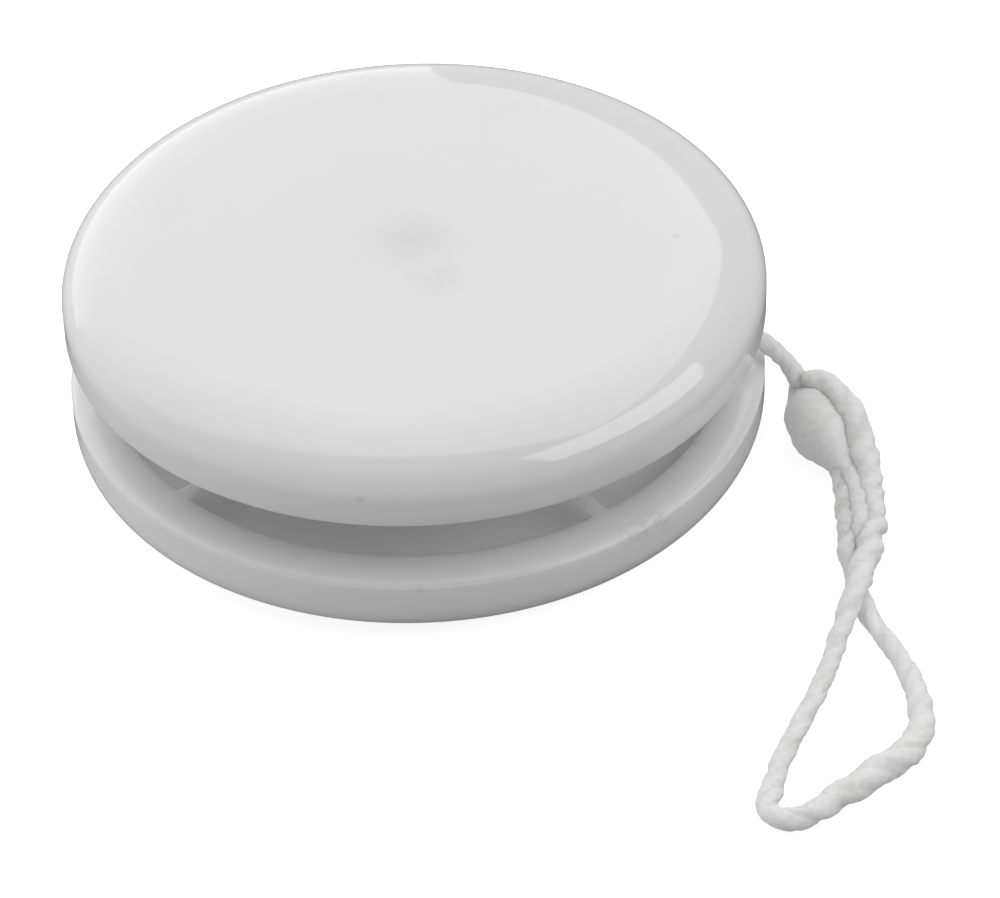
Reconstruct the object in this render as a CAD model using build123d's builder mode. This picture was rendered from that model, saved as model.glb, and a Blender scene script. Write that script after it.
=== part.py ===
from build123d import *
from math import cos, pi, radians, sin, tan
import os

# A yo-yo lying on the face of its lower half, in millimetres, +Z up.
# The origin is the centre of that face, so the axle runs up the Z axis.

# Driving dimensions
yoyo_diameter = 57.0
yoyo_thickness = 18.8
gap_width = 5.0
lip_width = 3.3
hollow_depth = 2.3
axle_diameter = 4.0
hub_diameter = 10.0
rib_thickness = 1.4
rib_middle_angle = -96.6
rib_spread = 41.0
string_diameter = 1.5
loop_cord_diameter = 1.8

# The outside of one half: a flat face, a rounded shoulder, a short straight rim and a rounded lip
outer_radius = yoyo_diameter / 2
half_height = (yoyo_thickness - gap_width) / 2
face_radius = 22.2
shoulder_height = 4.0
rim_height = 6.2
lip_round = 2.9
parting_step = 0.07

# The inside of one half: a shallow cup, with a hub and four ribs level with the lip
cup_radius = outer_radius - lip_width
cup_draft = 0.12
cup_fillet = 0.8
rib_foot = 0.3
bore_floor = 1.6
edge_round = 0.25

# The axle, pressed into both hubs
axle_end_gap = 0.2
axle_chamfer = 0.3

# The string wound on the axle: three turns side by side in each layer
turns_per_layer = 3
turn_spacing = 1.45
layer_count = 7
layer_spacing = 1.3
axle_running_gap = 0.05
winding_round = 0.6

middle = yoyo_thickness / 2
cup_floor = half_height - hollow_depth
winding_inner = axle_diameter / 2 + axle_running_gap
winding_outer = axle_diameter / 2 + string_diameter + (layer_count - 1) * layer_spacing
winding_width = (turns_per_layer - 1) * turn_spacing + string_diameter - 0.1

# The knot at the end of the string, and the doubled string between it and the finger loop
knot_centre = (32.9, -4.6, 2.7)
knot_length = 7.8
knot_width = 5.2
knot_heading = -72
shank_diameter = 3.4

# The string from the winding, out through the gap, down to the knot
tail_points = [
    (3.4, -10.0, 9.4),
    (11.0, -7.6, 9.5),
    (17.6, -5.2, 9.45),
    (22.6, -3.4, 9.45),
    (26.2, -2.3, 9.35),
    (28.5, -1.9, 8.8),
    (31.3, -1.5, 4.6),
    (32.0, -3.2, 3.1),
]

# The doubled string, lying on the floor from the knot to the fork
shank_points = [
    (33.8, -7.2, 1.75),
    (35.0, -10.6, 1.7),
    (35.4, -14.6, 1.7),
    (34.9, -18.8, 1.7),
    (34.3, -22.8, 1.7),
    (34.1, -26.6, 1.7),
]

# The finger loop, lying on the floor, from one side of the fork round to the other
loop_points = [
    (33.6, -25.4, 1.0),
    (32.8, -28.4, 0.95),
    (31.3, -33.2, 0.95),
    (29.3, -37.9, 0.95),
    (27.2, -42.4, 0.95),
    (26.0, -46.2, 0.95),
    (25.4, -48.6, 0.95),
    (26.3, -49.9, 0.95),
    (27.9, -50.2, 0.95),
    (30.0, -48.9, 0.95),
    (33.2, -46.4, 0.95),
    (36.3, -43.7, 0.95),
    (37.8, -40.8, 0.95),
    (38.0, -37.6, 0.95),
    (37.4, -33.8, 0.95),
    (36.4, -30.9, 0.95),
    (35.0, -28.0, 0.95),
    (34.7, -25.4, 1.0),
]


def arc_radii(points):
    """The largest arc that fits at each corner of a route, shared evenly with the next corner."""
    radii = []
    for before, here, after in zip(points, points[1:], points[2:]):
        run_in = Vector(here) - Vector(before)
        run_out = Vector(after) - Vector(here)
        half_turn = radians(run_in.get_angle(run_out)) / 2
        radii.append(0.45 * min(run_in.length, run_out.length) / tan(half_turn))
    return radii


def report_tube(name, tube, path, diameter, radii):
    """Prints the arcs of a tube, and its volume as a share of its section times its length."""
    length = path.wire().length
    share = tube.part.volume / (length * pi * (diameter / 2) ** 2)
    print(name, "length", round(length, 1), "volume share", round(share, 3))
    print("  arc radii", [round(radius, 1) for radius in radii])


os.makedirs("parts", exist_ok=True)

# Lower half: one moulding, with its flat face down and its lip and ribs up
with BuildPart() as half_lower:
    with BuildSketch(Plane.XZ):
        with BuildLine():
            Line((0, 0), (face_radius, 0))
            EllipticalCenterArc(
                (face_radius, shoulder_height),
                outer_radius - face_radius,
                shoulder_height,
                start_angle=-90,
                arc_size=90,
            )
            Line((outer_radius, shoulder_height), (outer_radius, rim_height))
            Line((outer_radius, rim_height), (outer_radius - parting_step, rim_height))
            EllipticalCenterArc(
                (outer_radius - lip_round, rim_height),
                lip_round - parting_step,
                half_height - rim_height,
                start_angle=0,
                arc_size=90,
            )
            Line((outer_radius - lip_round, half_height), (cup_radius, half_height))
            FilletPolyline(
                (cup_radius, half_height),
                (cup_radius - cup_draft, cup_floor),
                (0, cup_floor),
                radius=cup_fillet,
            )
            Line((0, cup_floor), (0, 0))
        make_face()
    revolve(axis=Axis.Z)
    with BuildSketch(Plane.XY.offset(cup_floor)):
        Circle(hub_diameter / 2)
        for side in (-1, 1):
            with Locations(Rotation(0, 0, rib_middle_angle + side * rib_spread)):
                Rectangle(2 * cup_radius, rib_thickness)
    extrude(amount=hollow_depth)
    feet = half_lower.edges().filter_by(GeomType.LINE)
    fillet(feet.filter_by_position(Axis.Z, cup_floor - 0.01, cup_floor + 0.01), rib_foot)
    top_face = half_lower.faces().sort_by(Axis.Z)[-1]
    fillet(top_face.inner_wires().edges(), edge_round)
    with BuildSketch(Plane.XY.offset(half_height)):
        Circle(axle_diameter / 2)
    extrude(amount=bore_floor - half_height, mode=Mode.SUBTRACT)
half_lower.part.label = "half_lower"
export_step(half_lower.part, "parts/half_lower.step")

# Upper half: the same moulding turned over, so that its ribs stand above the lower ones
with BuildPart() as half_upper:
    flip_direction = (cos(radians(rib_middle_angle)), sin(radians(rib_middle_angle)), 0)
    add(half_lower.part.rotate(Axis((0, 0, middle), flip_direction), 180))
half_upper.part.label = "half_upper"
export_step(half_upper.part, "parts/half_upper.step")

# Axle: a plain steel pin
with BuildPart() as axle:
    axle_foot = bore_floor + axle_end_gap
    with BuildSketch(Plane.XY.offset(axle_foot)):
        Circle(axle_diameter / 2)
    extrude(amount=yoyo_thickness - 2 * axle_foot)
    chamfer(axle.edges(), axle_chamfer)
axle.part.label = "axle"
export_step(axle.part, "parts/axle.step")

# The string wound on the axle, as the outer shape of all its turns
with BuildPart() as string_winding:
    with BuildSketch(Plane.XY.offset(middle - winding_width / 2)):
        Circle(winding_outer)
    extrude(amount=winding_width)
    fillet(string_winding.edges(), winding_round)
    with BuildSketch(Plane.XY.offset(middle - winding_width / 2)):
        Circle(winding_inner)
    extrude(amount=winding_width, mode=Mode.SUBTRACT)
string_winding.part.label = "string_winding"
export_step(string_winding.part, "parts/string_winding.step")

# The string between the winding and the knot
tail_radii = arc_radii(tail_points)
with BuildPart() as string_tail:
    with BuildLine() as tail_path:
        FilletPolyline(*tail_points, radius=tail_radii)
    with BuildSketch(Plane(tail_path.line ^ 0)):
        Circle(string_diameter / 2)
    sweep(path=tail_path.line)
string_tail.part.label = "string_tail"
export_step(string_tail.part, "parts/string_tail.step")
report_tube("string_tail", string_tail, tail_path, string_diameter, tail_radii)

# The knot: a lump that is longer along the string than across it
with BuildPart() as string_knot:
    with BuildSketch(Plane.XY):
        Ellipse(knot_length / 2, knot_width / 2)
        Rectangle(knot_length, knot_width, align=(Align.CENTER, Align.MAX), mode=Mode.SUBTRACT)
    revolve(axis=Axis.X)
string_knot.part = Pos(*knot_centre) * Rot(0, 0, knot_heading) * string_knot.part
string_knot.part.label = "string_knot"
export_step(string_knot.part, "parts/string_knot.step")

# The doubled string, as one tube round both of its strands
shank_radii = arc_radii(shank_points)
with BuildPart() as string_shank:
    with BuildLine() as shank_path:
        FilletPolyline(*shank_points, radius=shank_radii)
    with BuildSketch(Plane(shank_path.line ^ 0)):
        Circle(shank_diameter / 2)
    sweep(path=shank_path.line)
string_shank.part.label = "string_shank"
export_step(string_shank.part, "parts/string_shank.step")
report_tube("string_shank", string_shank, shank_path, shank_diameter, shank_radii)

# The finger loop
loop_radii = arc_radii(loop_points)
with BuildPart() as finger_loop:
    with BuildLine() as loop_path:
        FilletPolyline(*loop_points, radius=loop_radii)
    with BuildSketch(Plane(loop_path.line ^ 0)):
        Circle(loop_cord_diameter / 2)
    sweep(path=loop_path.line)
finger_loop.part.label = "finger_loop"
export_step(finger_loop.part, "parts/finger_loop.step")
report_tube("finger_loop", finger_loop, loop_path, loop_cord_diameter, loop_radii)
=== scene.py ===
import math

import bpy
import numpy as np
from mathutils import Matrix, Vector


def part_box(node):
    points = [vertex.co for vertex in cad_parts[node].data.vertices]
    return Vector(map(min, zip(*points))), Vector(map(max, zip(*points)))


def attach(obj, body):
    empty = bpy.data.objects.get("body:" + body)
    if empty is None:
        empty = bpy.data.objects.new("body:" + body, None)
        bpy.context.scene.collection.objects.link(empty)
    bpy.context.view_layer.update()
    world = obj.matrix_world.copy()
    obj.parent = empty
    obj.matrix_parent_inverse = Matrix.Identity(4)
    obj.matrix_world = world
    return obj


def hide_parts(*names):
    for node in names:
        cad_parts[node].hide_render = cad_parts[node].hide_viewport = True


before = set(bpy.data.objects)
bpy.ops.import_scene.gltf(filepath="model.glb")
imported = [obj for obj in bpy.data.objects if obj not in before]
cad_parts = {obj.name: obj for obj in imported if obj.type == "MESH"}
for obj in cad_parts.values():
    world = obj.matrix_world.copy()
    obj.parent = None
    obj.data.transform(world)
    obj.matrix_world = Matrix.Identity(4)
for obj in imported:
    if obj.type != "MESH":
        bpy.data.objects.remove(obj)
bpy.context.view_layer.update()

MM = 0.001
scene = bpy.context.scene
scene.view_settings.view_transform = "Standard"

# The frame's own sizes
half_low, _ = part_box("half_lower")
_, upper_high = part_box("half_upper")
axle_low, axle_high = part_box("axle")
middle = (half_low.z + upper_high.z) / 2
axle_radius = (axle_high.x - axle_low.x) / 2

# The string: its thickness, and the length in which its plies turn once
string_thick = 1.5 * MM
string_pitch = 5.2 * MM
loop_thick = 1.8 * MM
loop_pitch = 7 * MM

# How the string is wound on the axle. Each turn moves on to the next in the last share of its way round,
# and wobbles by up to so many millimetres
turns_per_layer = 3
turn_spacing = 1.45 * MM
layer_spacing = 1.3 * MM
layer_count = 7
points_per_turn = 16
climb_share = 0.3
turn_wobble = 0.04

# The steps along a cord's mesh: coarse on the axle, and fine where the string is in sight
coil_step = 0.5 * MM
free_step = 0.12 * MM
free_length = 34 * MM

# Lumps in the cotton: how far they stand out as a share of the radius, and their lengths
big_lump = 0.05
big_lengths = (2.4 * MM, 6 * MM)
small_lump = 0.024
small_lengths = (0.45 * MM, 1.4 * MM)

# The string from the winding, out through the gap, down to the knot
tail_route = [
    (3.4, -10.0, 9.4),
    (11.0, -7.6, 9.5),
    (17.6, -5.2, 9.45),
    (22.6, -3.4, 9.45),
    (26.2, -2.3, 9.35),
    (28.5, -1.9, 8.8),
    (31.3, -1.5, 4.6),
    (32.0, -3.2, 3.1),
]

# The doubled string's first strand: over the knot, and down to where it crosses over the other
first_strand_route = [
    (31.4, -2.1, 4.4),
    (32.6, -2.6, 5.1),
    (34.2, -4.2, 4.8),
    (35.4, -6.4, 3.9),
    (36.0, -9.6, 2.3),
    (36.15, -13.0, 1.3),
    (36.05, -16.4, 1.25),
    (35.5, -19.6, 1.4),
    (34.8, -22.6, 2.0),
    (34.1, -25.6, 2.6),
]

# The finger loop, from the crossing round to the crossing again
loop_route = [
    (32.8, -28.4, 1.4),
    (31.3, -33.2, 0.85),
    (29.3, -37.9, 0.85),
    (27.2, -42.4, 0.85),
    (26.0, -46.2, 0.85),
    (25.4, -48.6, 0.9),
    (26.2, -49.6, 0.95),
    (27.8, -49.8, 0.95),
    (30.0, -48.3, 1.05),
    (33.1, -45.8, 1.15),
    (36.2, -43.4, 1.1),
    (37.8, -40.8, 1.0),
    (38.0, -37.6, 0.95),
    (37.4, -33.8, 0.9),
    (36.4, -30.9, 0.85),
    (35.3, -28.4, 0.85),
]

# How full the doubled string and the loop are, at these distances in millimetres along them, and the tail
loop_fullness_at = (0, 2, 9, 14, 20, 27, 32, 46, 49.5, 53, 57, 60.5, 65, 69, 75, 80, 85, 89, 102)
loop_fullness = (
    1.0, 1.3, 1.5, 1.4, 1.36, 1.0, 0.85, 0.88, 1.0, 0.98, 1.12, 1.34, 1.3, 1.15, 0.92, 0.85, 0.98, 1.3, 1.3,
)
tail_fullness = 1.05

# The second strand, from under the crossing back into the knot
second_strand_route = [
    (34.4, -25.2, 0.9),
    (34.2, -21.6, 1.05),
    (34.3, -18.0, 1.1),
    (34.5, -14.6, 1.1),
    (34.5, -11.2, 1.25),
    (34.1, -8.2, 1.8),
]

# The knot's own line, from the tail down between the doubled strands
knot_route = [
    (31.3, -0.6, 3.9),
    (31.8, -2.1, 3.3),
    (32.2, -4.1, 2.75),
    (32.9, -6.2, 2.5),
    (33.9, -8.3, 2.0),
    (34.7, -10.6, 1.65),
    (35.2, -13.4, 1.55),
    (35.2, -16.6, 1.5),
    (34.9, -19.6, 1.5),
]
knot_thick = 5.2 * MM

# No string comes nearer to the floor than this
floor_gap = 0.02 * MM


def make_camera():
    """The camera at the height, roll and distance from which the yo-yo is seen."""
    aim = Vector((6.52, -6.25, 1.73)) * MM
    elevation = math.radians(39.2)
    roll = math.radians(-1.78)
    distance = 350 * MM
    turn = Matrix.Rotation(math.pi / 2 - elevation, 4, "X") @ Matrix.Rotation(roll, 4, "Z")
    data = bpy.data.cameras.new("camera")
    data.sensor_width = 36
    data.lens = 154.1
    data.clip_start = 0.01
    data.clip_end = 20
    camera = bpy.data.objects.new("camera", data)
    camera.matrix_world = Matrix.Translation(aim) @ turn @ Matrix.Translation((0, 0, distance))
    scene.collection.objects.link(camera)
    scene.camera = camera


def spline_line(points, steps):
    """The points down the middle of a smooth cord that has these control points."""
    data = bpy.data.curves.new("route", "CURVE")
    data.dimensions = "3D"
    data.resolution_u = steps
    spline = data.splines.new("NURBS")
    spline.points.add(len(points) - 1)
    for point, place in zip(spline.points, points):
        point.co = (*place, 1.0)
    spline.order_u = 3
    spline.use_endpoint_u = True
    holder = bpy.data.objects.new("route", data)
    mesh = bpy.data.meshes.new_from_object(holder)
    line = np.array([vertex.co for vertex in mesh.vertices])
    bpy.data.meshes.remove(mesh)
    bpy.data.curves.remove(data)
    return line


def along(line):
    """How far along the line each of its points is."""
    return np.concatenate([[0], np.cumsum(np.linalg.norm(np.diff(line, axis=0), axis=1))])


def respaced(line, step, coarse_length=0.0, coarse_step=1.0):
    """The same line with its points a step apart, after a first length with coarser steps."""
    far = along(line)
    coarse = np.arange(0, coarse_length, coarse_step)
    fine_count = math.ceil((far[-1] - coarse_length) / step) + 1
    at = np.concatenate([coarse, np.linspace(coarse_length, far[-1], fine_count)])
    return np.stack([np.interp(at, far, line[:, k]) for k in range(3)], axis=1)


def carried_frames(line):
    """At each point of the line, two directions across it that don't twist along it."""
    ahead = np.gradient(line, axis=0)
    ahead /= np.linalg.norm(ahead, axis=1)[:, None]
    # Square to the start and to a direction in which no cord starts
    side = np.cross(ahead[0], (0.3, 0.2, 1.0))
    sides = []
    for forward in ahead:
        side = side - forward * side.dot(forward)
        side /= np.linalg.norm(side)
        sides.append(side)
    sides = np.array(sides)
    return sides, np.cross(ahead, sides)


def ply_outline(angles, fullness, ply_count=3):
    """How far out the outline of twisted plies reaches at each angle, where 1 is the furthest."""
    ply_radius = 1 / (1 + fullness)
    offset = 1 - ply_radius
    best = np.zeros_like(angles)
    for ply in range(ply_count):
        turned = angles - 2 * math.pi * ply / ply_count
        under = np.maximum(ply_radius**2 - (offset * np.sin(turned)) ** 2, 0)
        reach = offset * np.cos(turned) + np.sqrt(under)
        best = np.maximum(best, np.where(np.cos(turned) > 0, reach, 0))
    return best


def lumps(far, angles, seed, wavelengths, most_waves, count):
    """Smooth random lumps over a tube, between about -1 and 1, one row for each point along it."""
    random = np.random.default_rng(seed)
    total = np.zeros((len(far), len(angles)))
    for _ in range(count):
        wavelength = random.uniform(*wavelengths)
        waves = random.integers(0, most_waves + 1)
        lean = random.choice((-1, 1)) * waves
        phase = random.uniform(0, 2 * math.pi)
        total += np.cos(2 * math.pi * far[:, None] / wavelength + lean * angles[None, :] + phase)
    return total * math.sqrt(2 / count)


def tube_mesh(name, line, reach, shade, around):
    """A closed tube along the line, with its radius and its painted shade at each point and angle."""
    sides, ups = carried_frames(line)
    angles = np.linspace(0, 2 * math.pi, around, endpoint=False)
    cosines = np.cos(angles)[None, :, None]
    sines = np.sin(angles)[None, :, None]
    across = cosines * sides[:, None, :] + sines * ups[:, None, :]
    rings = line[:, None, :] + reach[:, :, None] * across
    rings[:, :, 2] = np.maximum(rings[:, :, 2], floor_gap)
    corners = np.concatenate([rings.reshape(-1, 3), line[[0, -1]]])
    ring_count = len(line)
    first, last = ring_count * around, ring_count * around + 1
    end = (ring_count - 1) * around
    faces = []
    for ring in range(ring_count - 1):
        here = ring * around
        for k in range(around):
            after = (k + 1) % around
            faces.append((here + k, here + after, here + around + after, here + around + k))
    for k in range(around):
        after = (k + 1) % around
        faces.append((first, after, k))
        faces.append((last, end + k, end + after))
    mesh = bpy.data.meshes.new(name)
    mesh.from_pydata(corners.tolist(), [], faces)
    mesh.polygons.foreach_set("use_smooth", [True] * len(faces))
    # The ends get a middling painted shade
    end_shade = 0.5
    painted_shade = mesh.attributes.new("painted_shade", "FLOAT", "POINT")
    painted_shade.data.foreach_set("value", np.concatenate([shade.ravel(), [end_shade, end_shade]]))
    piece = bpy.data.objects.new(name, mesh)
    scene.collection.objects.link(piece)
    return piece


def soft_cord(name, line, thick, ply_pitch, seed, around):
    """A soft twisted cord. thick is its thickness at each point along it."""
    ply_fullness = 0.3
    loosening = 0.9
    loosened_every = 2.7
    angles = np.linspace(0, 2 * math.pi, around, endpoint=False)
    far = along(line)
    loosened = loosening * np.sin(2 * math.pi * far / (loosened_every * ply_pitch) + seed)
    turned = angles[None, :] - (2 * math.pi * far / ply_pitch + loosened)[:, None]
    plies = ply_outline(turned % (2 * math.pi), ply_fullness)
    groove = (plies.max() - plies) / (plies.max() - plies.min())
    big = lumps(far, angles, seed, big_lengths, most_waves=2, count=12)
    small = lumps(far, angles, seed + 1, small_lengths, most_waves=8, count=40)
    reach = thick[:, None] / 2 * (plies + big_lump * big + small_lump * small)
    # Painted shade: darker down in the grooves, and lighter on the lumps where light falls
    shade = np.clip(0.4 * groove - 0.2 * big - 0.1 * small + 0.25, 0, 1)
    return tube_mesh(name, line, reach, shade, around)


def winding_route():
    """The control points of the turns on the axle, from the slip loop out to the tail."""
    start = math.atan2(tail_route[0][1], tail_route[0][0])
    turns = turns_per_layer * layer_count
    # A smooth curve cuts inside its control points by this much
    cut = (3 + math.cos(2 * math.pi / points_per_turn)) / 4
    random = np.random.default_rng(3)
    points = []
    for k in range(turns * points_per_turn):
        turn, part = divmod(k / points_per_turn, 1)
        layer, column = divmod(int(turn), turns_per_layer)
        step = max(0, (part - (1 - climb_share)) / climb_share)
        ease = step * step * (3 - 2 * step)
        rises = column == turns_per_layer - 1 and layer < layer_count - 1
        radius = axle_radius + string_thick / 2 + (layer + ease * rises) * layer_spacing
        height = (column - 1 + ease * (column < turns_per_layer - 1)) * turn_spacing
        if layer % 2:
            height = -height
        if turn == turns - 1:
            height *= 1 - ease
        height += random.uniform(-turn_wobble, turn_wobble) * MM
        angle = start + 2 * math.pi * part
        out = radius / cut
        points.append((out * math.cos(angle), out * math.sin(angle), middle + height))
    return points


def in_metres(route):
    """The route's points in metres."""
    return [tuple(value * MM for value in point) for point in route]


def eased(x, low, high):
    """0 below low, 1 above high, and smooth between."""
    t = np.clip((x - low) / (high - low), 0, 1)
    return t * t * (3 - 2 * t)


def make_tail():
    """The string from its turns on the axle, out through the gap, to the knot."""
    points = winding_route() + in_metres(tail_route)
    line = spline_line(points, steps=6)
    line = respaced(line, free_step, along(line)[-1] - free_length, coil_step)
    thick = np.full(len(line), string_thick * tail_fullness)
    tail = soft_cord("string_tail_cord", line, thick, string_pitch, seed=5, around=24)
    return tail, line


def make_loop():
    """The string from over the knot, round the finger loop, and back into the knot."""
    points = in_metres(first_strand_route + loop_route + second_strand_route)
    line = respaced(spline_line(points, steps=24), free_step)
    # Full beside the knot, thin down the left of the loop, and fullest at its lower right
    share = np.interp(along(line) / MM, loop_fullness_at, loop_fullness)
    beside = 8
    window = 2 * beside + 1
    share = np.convolve(np.pad(share, beside, mode="edge"), np.full(window, 1 / window), mode="valid")
    loop = soft_cord("finger_loop_cord", line, loop_thick * share, loop_pitch, seed=8, around=40)
    return loop, line


def make_knot():
    """The knot: the string pulled tight into a smooth ball that tapers into the doubled string."""
    around = 72
    end_roundness = 24
    narrowest = 0.02 * MM
    line = respaced(spline_line(in_metres(knot_route), steps=24), free_step)
    away = along(line)
    far = away / away[-1]
    angles = np.linspace(0, 2 * math.pi, around, endpoint=False)
    ends = np.sqrt(np.clip(1 - np.abs(2 * far - 1) ** end_roundness, 0, 1))
    swell = 0.4 + 0.6 * eased(far, 0.0, 0.24)
    taper = 1 - 0.6 * eased(far, 0.27, 0.58)
    radius = knot_thick / 2 * swell * taper * ends
    # The strands pulled tight over each other show as low ridges that run round the ball aslant
    lean = 2 * math.pi * away[:, None] / loop_pitch + 0.9 * np.sin(angles)[None, :]
    ridges = np.abs(np.sin(1.5 * (angles[None, :] - lean)))
    big = lumps(away, angles, 21, (3 * MM, 7 * MM), most_waves=2, count=8)
    small = lumps(away, angles, 22, (0.5 * MM, 1.4 * MM), most_waves=10, count=40)
    form = 0.97 + 0.05 * ridges + 0.03 * big + 0.01 * small
    reach = np.maximum(radius[:, None] * form, narrowest)
    # Painted shade: darker between the ridges and lumps, and lighter on them
    shade = np.clip(0.45 - 0.3 * ridges - 0.15 * big - 0.08 * small, 0, 1)
    return tube_mesh("string_knot_core", line, reach, shade, around)


def new_material(name):
    material = bpy.data.materials.new(name)
    material.use_nodes = True
    return material, material.node_tree.nodes, material.node_tree.links


def join(links, socket, value):
    """Sets a socket to a number or a vector, or links an output to it."""
    if isinstance(value, bpy.types.NodeSocket):
        links.new(value, socket)
    else:
        socket.default_value = value


def noise(nodes, links, where, scale, detail=2.0):
    texture = nodes.new("ShaderNodeTexNoise")
    texture.inputs["Scale"].default_value = scale
    texture.inputs["Detail"].default_value = detail
    links.new(where, texture.inputs["Vector"])
    return texture.outputs["Fac"]


def mapped(nodes, links, value, from_low, from_high, to_low, to_high):
    """The value moved from one range to another, with soft ends."""
    node = nodes.new("ShaderNodeMapRange")
    node.interpolation_type = "SMOOTHSTEP"
    names = ("Value", "From Min", "From Max", "To Min", "To Max")
    for name, item in zip(names, (value, from_low, from_high, to_low, to_high)):
        join(links, node.inputs[name], item)
    return node.outputs["Result"]


def maths(nodes, links, operation, *values):
    node = nodes.new("ShaderNodeMath")
    node.operation = operation
    for socket, value in zip(node.inputs, values):
        join(links, socket, value)
    return node.outputs["Value"]


def vector_maths(nodes, links, operation, first, second, output="Vector"):
    node = nodes.new("ShaderNodeVectorMath")
    node.operation = operation
    join(links, node.inputs[0], first)
    join(links, node.inputs[1], second)
    return node.outputs[output]


def near(nodes, links, where, centre, core, edge):
    """1 within core of the centre, and 0 past edge, all in millimetres."""
    away = vector_maths(nodes, links, "DISTANCE", where, tuple(Vector(centre) * MM), "Value")
    return mapped(nodes, links, away, core * MM, edge * MM, 1.0, 0.0)


def mixed(nodes, links, factor, first, second):
    node = nodes.new("ShaderNodeMix")
    node.data_type = "RGBA"
    join(links, node.inputs["Factor"], factor)
    for name, colour in (("A", first), ("B", second)):
        join(links, node.inputs[name], (*colour, 1) if isinstance(colour, tuple) else colour)
    return node.outputs["Result"]


def bumped(nodes, links, height, strength, distance):
    node = nodes.new("ShaderNodeBump")
    node.inputs["Strength"].default_value = strength
    node.inputs["Distance"].default_value = distance
    links.new(height, node.inputs["Height"])
    return node.outputs["Normal"]


def string_material():
    """White cotton with painted shade down between the plies, a little duller in soft blotches, with fine
    fibres.
    """
    white = (0.97, 0.97, 0.965)
    # The white that the painted shade and the cotton's own blotches darken towards
    shade_and_blotch_white = (0.82, 0.82, 0.81)
    material, nodes, links = new_material("cotton_string")
    shader = nodes["Principled BSDF"]
    shader.inputs["Sheen Weight"].default_value = 0.3
    shader.inputs["Subsurface Weight"].default_value = 0.8
    shader.inputs["Subsurface Radius"].default_value = (1, 1, 1)
    shader.inputs["Subsurface Scale"].default_value = 1.2 * MM
    painted_shade = nodes.new("ShaderNodeAttribute")
    painted_shade.attribute_name = "painted_shade"
    where = nodes.new("ShaderNodeTexCoord").outputs["Object"]
    blotches = mapped(nodes, links, noise(nodes, links, where, 420, 3), 0.4, 0.7, 0.0, 0.35)
    # Painted shade from the grooves, ridges and lumps, added to the cotton's own blotches
    shade_and_blotches = maths(nodes, links, "ADD", painted_shade.outputs["Fac"], blotches)
    links.new(mixed(nodes, links, shade_and_blotches, white, shade_and_blotch_white), shader.inputs["Base Color"])
    fibres = noise(nodes, links, where, 2600, 5)
    links.new(mapped(nodes, links, fibres, 0.3, 0.7, 0.8, 1.0), shader.inputs["Roughness"])
    links.new(bumped(nodes, links, fibres, 0.6, 0.2 * MM), shader.inputs["Normal"])
    return material


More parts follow.
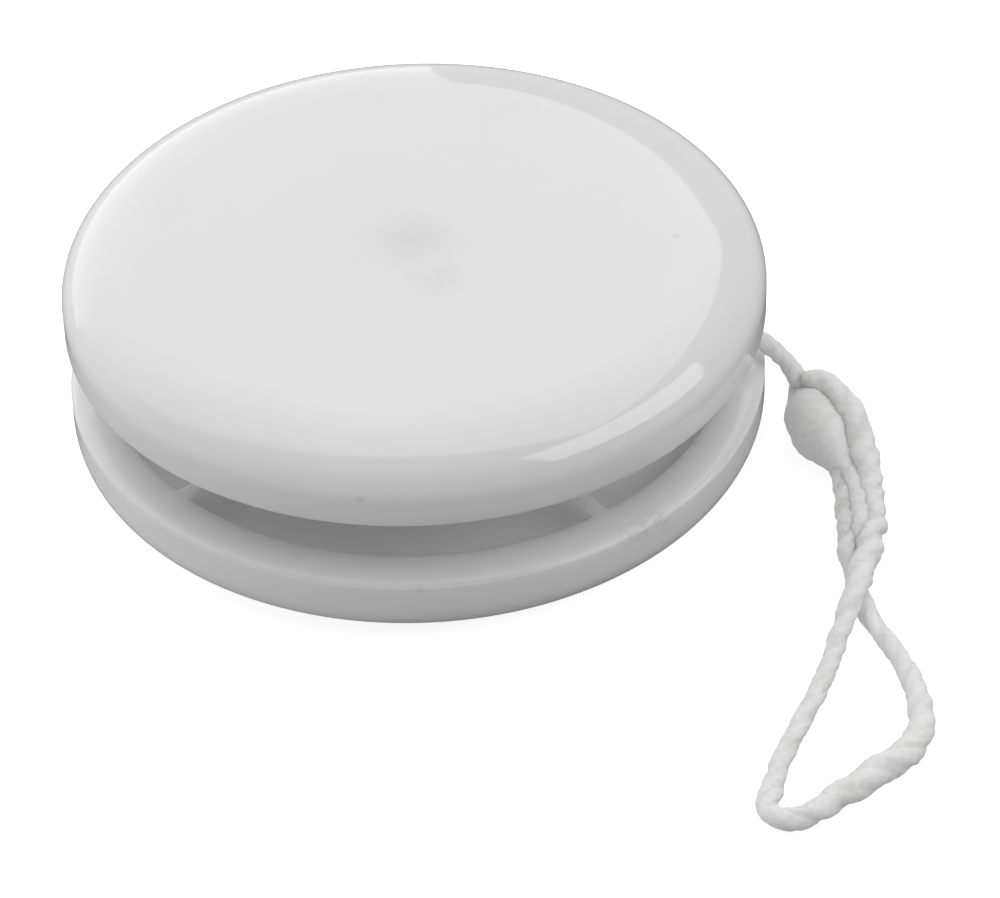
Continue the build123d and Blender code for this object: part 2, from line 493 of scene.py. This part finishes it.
def shell_material():
    """Glossy white moulded plastic with its gate marks, a few specks, light wear round the rims, and a
    lighter white painted in the gap for light.
    """
    outer_white = (0.85, 0.85, 0.85)
    cloudy_white = (0.76, 0.76, 0.76)
    # The lighter white painted inside the gap in place of light
    painted_light_white = (0.97, 0.97, 0.97)
    gate_marks = (
        (1.8, -5.5, 18.8),
        (1.8, -5.5, 0.0),
    )
    specks = (
        (21.2, -0.9, 18.8),
        (-4.2, -28.2, 15.1),
        (0.0, -28.5, 6.0),
        (-9.5, 12.4, 0.0),
        (14.9, 24.3, 4.1),
    )
    scuffs = (
        (16.8, -22.7, 6.5),
        (17.8, -22.0, 6.5),
        (18.8, -21.2, 6.4),
        (-23.6, 14.2, 12.6),
    )
    material, nodes, links = new_material("white_plastic")
    shader = nodes["Principled BSDF"]
    shader.inputs["IOR"].default_value = 1.59
    shader.inputs["Subsurface Weight"].default_value = 1
    shader.inputs["Subsurface Radius"].default_value = (1, 1, 1)
    shader.inputs["Subsurface Scale"].default_value = 3.5 * MM
    where = nodes.new("ShaderNodeTexCoord").outputs["Object"]

    # Slow clouds in the white, faint gate marks with ragged outlines, and small dark specks
    ragged = noise(nodes, links, where, 330, 3)
    darker = mapped(nodes, links, noise(nodes, links, where, 55, 2), 0.35, 0.65, 0.0, 0.12)
    for centre in gate_marks:
        mark = maths(nodes, links, "MULTIPLY", near(nodes, links, where, centre, 0.6, 3.4), ragged)
        darker = maths(nodes, links, "MULTIPLY_ADD", mark, 0.75, darker)
    for centre in specks:
        darker = maths(nodes, links, "ADD", near(nodes, links, where, centre, 0.1, 0.42), darker)
    outside = mixed(nodes, links, darker, outer_white, cloudy_white)

    # Painted light: the inside and the faces of the lips, down in the gap's shade, are painted a lighter
    # white to brighten them
    flat = vector_maths(nodes, links, "MULTIPLY", where, (1, 1, 0))
    out = vector_maths(nodes, links, "LENGTH", flat, (0, 0, 0), "Value")
    upright = vector_maths(nodes, links, "DOT_PRODUCT", where, (0, 0, 1), "Value")
    from_middle = maths(nodes, links, "ABSOLUTE", maths(nodes, links, "SUBTRACT", upright, middle))
    lips = mapped(nodes, links, from_middle, 2.4 * MM, 3.3 * MM, 1.0, 0.0)
    deep = mapped(nodes, links, from_middle, 5.3 * MM, 6.0 * MM, 1.0, 0.0)
    inward = mapped(nodes, links, out, 24.0 * MM, 26.0 * MM, 1.0, 0.0)
    hollow = maths(nodes, links, "MULTIPLY", deep, inward)
    painted_light_mask = maths(nodes, links, "MAXIMUM", lips, hollow)
    links.new(mixed(nodes, links, painted_light_mask, outside, painted_light_white), shader.inputs["Base Color"])

    # Scuffed spots, and hairline wear on the widest part of the rims
    scuffed = 0.0
    for centre in scuffs:
        scuffed = maths(nodes, links, "ADD", near(nodes, links, where, centre, 0.1, 1.4), scuffed)
    broken = noise(nodes, links, where, 1500, 4)
    scuffed = maths(nodes, links, "MULTIPLY", scuffed, mapped(nodes, links, broken, 0.48, 0.6, 0.0, 1.0))
    rim = mapped(nodes, links, out, 27.2 * MM, 28.6 * MM, 0.0, 1.0)
    squashed = vector_maths(nodes, links, "MULTIPLY", where, (1, 1, 0.12))
    hairlines = mapped(nodes, links, noise(nodes, links, squashed, 2400, 3), 0.56, 0.72, 0.0, 1.0)
    worn = maths(nodes, links, "MULTIPLY", rim, hairlines)
    smears = mapped(nodes, links, noise(nodes, links, where, 140, 4), 0.4, 0.7, 0.03, 0.06)
    roughness = maths(nodes, links, "MULTIPLY_ADD", worn, 0.12, smears)
    roughness = maths(nodes, links, "MULTIPLY_ADD", scuffed, 0.35, roughness)
    links.new(roughness, shader.inputs["Roughness"])

    # Slow waves from the mould, the scuffs' raised burrs, and the hairlines' fine grooves
    burrs = maths(nodes, links, "MULTIPLY", scuffed, noise(nodes, links, where, 2600, 4))
    waves = noise(nodes, links, where, 45, 1)
    height = maths(nodes, links, "MULTIPLY_ADD", burrs, 9.0, waves)
    height = maths(nodes, links, "MULTIPLY_ADD", worn, -0.03, height)
    links.new(bumped(nodes, links, height, 1.0, 0.03 * MM), shader.inputs["Normal"])
    return material


def steel_material():
    """A drawn steel pin, with fine streaks along its length."""
    bright = (0.64, 0.64, 0.65)
    dark = (0.5, 0.5, 0.51)
    material, nodes, links = new_material("steel")
    shader = nodes["Principled BSDF"]
    shader.inputs["Metallic"].default_value = 1
    where = nodes.new("ShaderNodeTexCoord").outputs["Object"]
    drawn_out = vector_maths(nodes, links, "MULTIPLY", where, (1, 1, 0.03))
    streaks = noise(nodes, links, drawn_out, 5000, 3)
    links.new(mixed(nodes, links, streaks, bright, dark), shader.inputs["Base Color"])
    links.new(mapped(nodes, links, streaks, 0.3, 0.7, 0.22, 0.42), shader.inputs["Roughness"])
    links.new(bumped(nodes, links, streaks, 0.4, 0.02 * MM), shader.inputs["Normal"])
    return material


def make_floor():
    """A white floor that the camera sees, and that throws no light back up."""
    side = 3.0
    corners = [(-side, -side, 0), (side, -side, 0), (side, side, 0), (-side, side, 0)]
    mesh = bpy.data.meshes.new("floor")
    mesh.from_pydata(corners, [], [(0, 1, 2, 3)])
    floor = bpy.data.objects.new("floor", mesh)
    floor.location.z = -0.1 * MM
    floor.visible_diffuse = False
    floor.visible_glossy = False
    floor.visible_shadow = False
    scene.collection.objects.link(floor)
    material, nodes, links = new_material("floor")
    shader = nodes["Principled BSDF"]
    shader.inputs["Base Color"].default_value = (0.85, 0.85, 0.85, 1)
    shader.inputs["Roughness"].default_value = 0.9
    shader.inputs["Specular IOR Level"].default_value = 0
    shader.inputs["Emission Color"].default_value = (1, 1, 1, 1)
    shader.inputs["Emission Strength"].default_value = 0.7
    mesh.materials.append(material)


def panel(name, centre, width, height, radiance, roll=0.0, faces=None):
    """A rectangular light at the centre given. It faces the yo-yo, or straight along faces."""
    centre = Vector(centre)
    data = bpy.data.lights.new(name, "AREA")
    data.shape = "RECTANGLE"
    data.size = width
    data.size_y = height
    data.energy = radiance * math.pi * width * height
    light = bpy.data.objects.new(name, data)
    back = -Vector(faces) if faces else centre
    turn = back.to_track_quat("Z", "Y").to_matrix().to_4x4() @ Matrix.Rotation(roll, 4, "Z")
    light.matrix_world = Matrix.Translation(centre) @ turn
    light.visible_camera = False
    scene.collection.objects.link(light)


def make_overhead_light():
    """The big light overhead, which reaches far down towards the left and the back."""
    height = 0.8
    radiance = 1.15
    corners = [
        (0.62, -0.19),
        (-1.04, -0.16),
        (-2.28, 0.54),
        (-4.64, 2.4),
        (-4.64, 3.3),
        (-1.8, 1.28),
        (0.62, 1.28),
    ]
    mesh = bpy.data.meshes.new("overhead")
    mesh.from_pydata([(*corner, height) for corner in corners], [], [tuple(range(len(corners)))])
    light = bpy.data.objects.new("overhead", mesh)
    light.visible_camera = False
    scene.collection.objects.link(light)
    material, nodes, links = new_material("overhead_light")
    glow = nodes.new("ShaderNodeEmission")
    glow.inputs["Strength"].default_value = radiance
    links.new(glow.outputs["Emission"], nodes["Material Output"].inputs["Surface"])
    mesh.materials.append(material)


def direction(azimuth, elevation):
    """The direction at these angles, in degrees."""
    az = math.radians(azimuth)
    el = math.radians(elevation)
    return Vector((math.cos(el) * math.cos(az), math.cos(el) * math.sin(az), math.sin(el)))


def light_the_scene():
    """Plain studio light: soft surroundings, a big light overhead, a wall behind and a panel in front."""
    # The surroundings' radiance against the sine of the elevation, and what the left side adds to it
    radiance_at = ((-1, 0.08), (-0.45, 0.16), (-0.1, 0.52), (0.1, 0.46), (0.4, 0.16), (1, 0.16))
    left_radiance = 0.5
    world = bpy.data.worlds.new("world")
    world.use_nodes = True
    nodes, links = world.node_tree.nodes, world.node_tree.links
    where = nodes.new("ShaderNodeTexCoord")
    parts = nodes.new("ShaderNodeSeparateXYZ")
    upward = nodes.new("ShaderNodeMapRange")
    upward.inputs["From Min"].default_value = -1
    shade = nodes.new("ShaderNodeValToRGB")
    stops = shade.color_ramp.elements
    while len(stops) < len(radiance_at):
        stops.new(0.5)
    for stop, (sine, radiance) in zip(stops, radiance_at):
        stop.position = (sine + 1) / 2
        stop.color = (radiance, radiance, radiance, 1)
    from_left = nodes.new("ShaderNodeMapRange")
    from_left.inputs["From Min"].default_value = 0
    from_left.inputs["From Max"].default_value = -1
    from_left.inputs["To Max"].default_value = left_radiance
    links.new(where.outputs["Generated"], parts.inputs["Vector"])
    links.new(parts.outputs["Z"], upward.inputs["Value"])
    links.new(upward.outputs["Result"], shade.inputs["Fac"])
    links.new(parts.outputs["X"], from_left.inputs["Value"])
    total = maths(nodes, links, "ADD", shade.outputs["Color"], from_left.outputs["Result"])
    nodes["Background"].inputs["Color"].default_value = (1, 1, 1, 1)
    links.new(total, nodes["Background"].inputs["Strength"])
    scene.world = world
    make_overhead_light()
    panel("back_wall", (-0.9, 1.28, 0.4), width=1.8, height=0.8, radiance=0.95, faces=(0, -1, 0))
    front = direction(azimuth=-17.3, elevation=36.2) * 0.8
    panel("right_front", front, width=0.8, height=0.4, radiance=2.0, roll=math.radians(-12.8))


make_camera()

tail, tail_line = make_tail()
loop, loop_line = make_loop()
knot = make_knot()
cotton = string_material()
for piece in (tail, loop, knot):
    piece.data.materials.append(cotton)
    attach(piece, "string")
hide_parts("string_winding", "string_tail")
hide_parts("string_shank", "finger_loop")
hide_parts("string_knot")

plastic = shell_material()
steel = steel_material()
for node, material in (("half_lower", plastic), ("half_upper", plastic), ("axle", steel)):
    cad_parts[node].data.materials.clear()
    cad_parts[node].data.materials.append(material)

make_floor()
light_the_scene()
